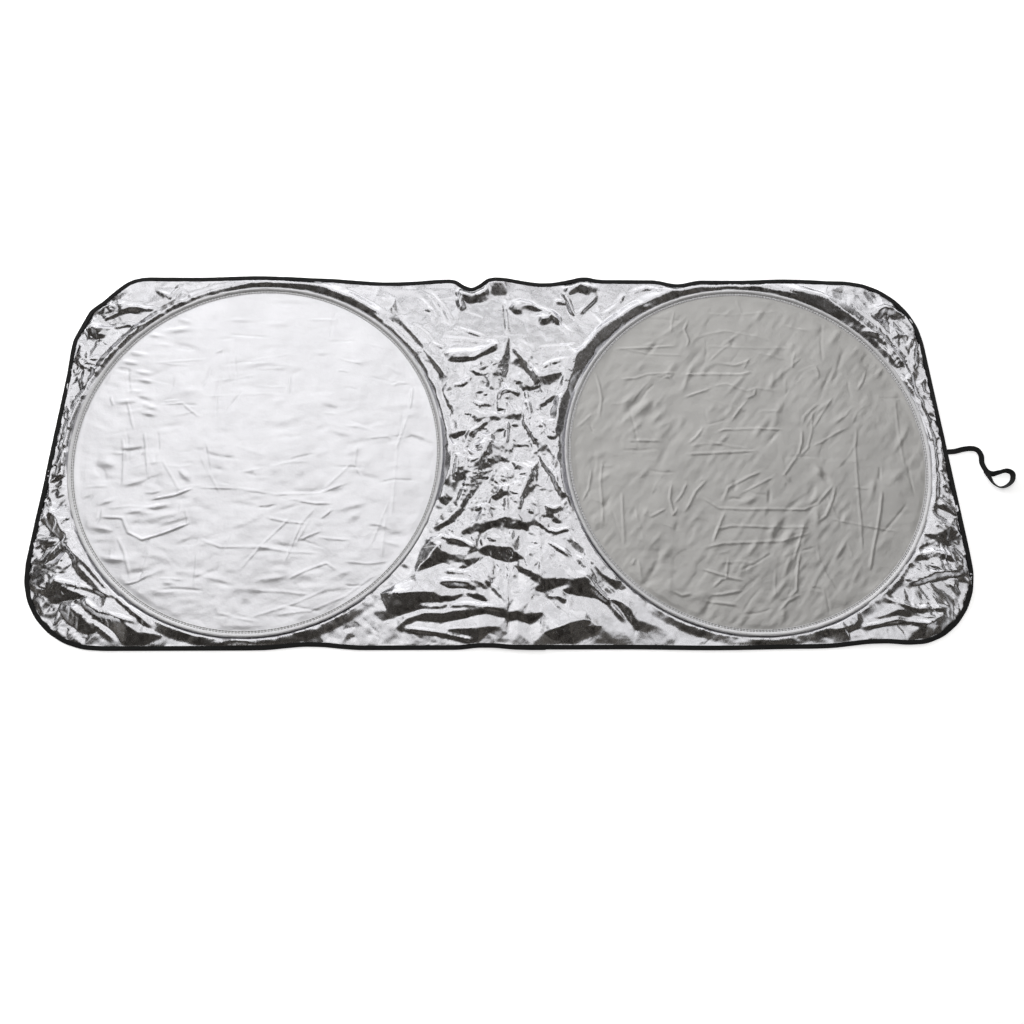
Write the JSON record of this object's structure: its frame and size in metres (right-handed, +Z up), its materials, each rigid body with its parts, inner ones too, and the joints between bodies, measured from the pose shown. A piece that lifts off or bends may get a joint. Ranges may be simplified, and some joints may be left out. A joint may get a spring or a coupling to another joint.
{
  "type": "windscreen sunshade",
  "caption": "Folding windscreen sunshade: crumpled metallised cloth sheet with sprung wire hoops, bound edge and elastic closing strap.",
  "frame": {"origin": "on the ground under the middle of the sheet, without its strap", "axes": "+X along the sheet's long side towards the strap, +Y along its short side, +Z up from the ground"},
  "size_m": [1.599, 0.654, 0.0152],
  "materials": {
    "metallised_cloth": "satin",
    "silver_tape": "satin",
    "spring_steel": "satin",
    "black_tape": "matte",
    "black_elastic": "matte"
  },
  "bodies": {
    "root": {"surround_panel": "metallised_cloth", "left_disc_panel": "metallised_cloth", "right_disc_panel": "metallised_cloth", "left_hoop_casing": "silver_tape", "right_hoop_casing": "silver_tape", "left_hoop_wire": "spring_steel", "right_hoop_wire": "spring_steel", "left_hoop_ferrule": "spring_steel", "right_hoop_ferrule": "spring_steel", "edge_binding": "black_tape", "closure_strap": "black_elastic"}
  },
  "joints": []
}
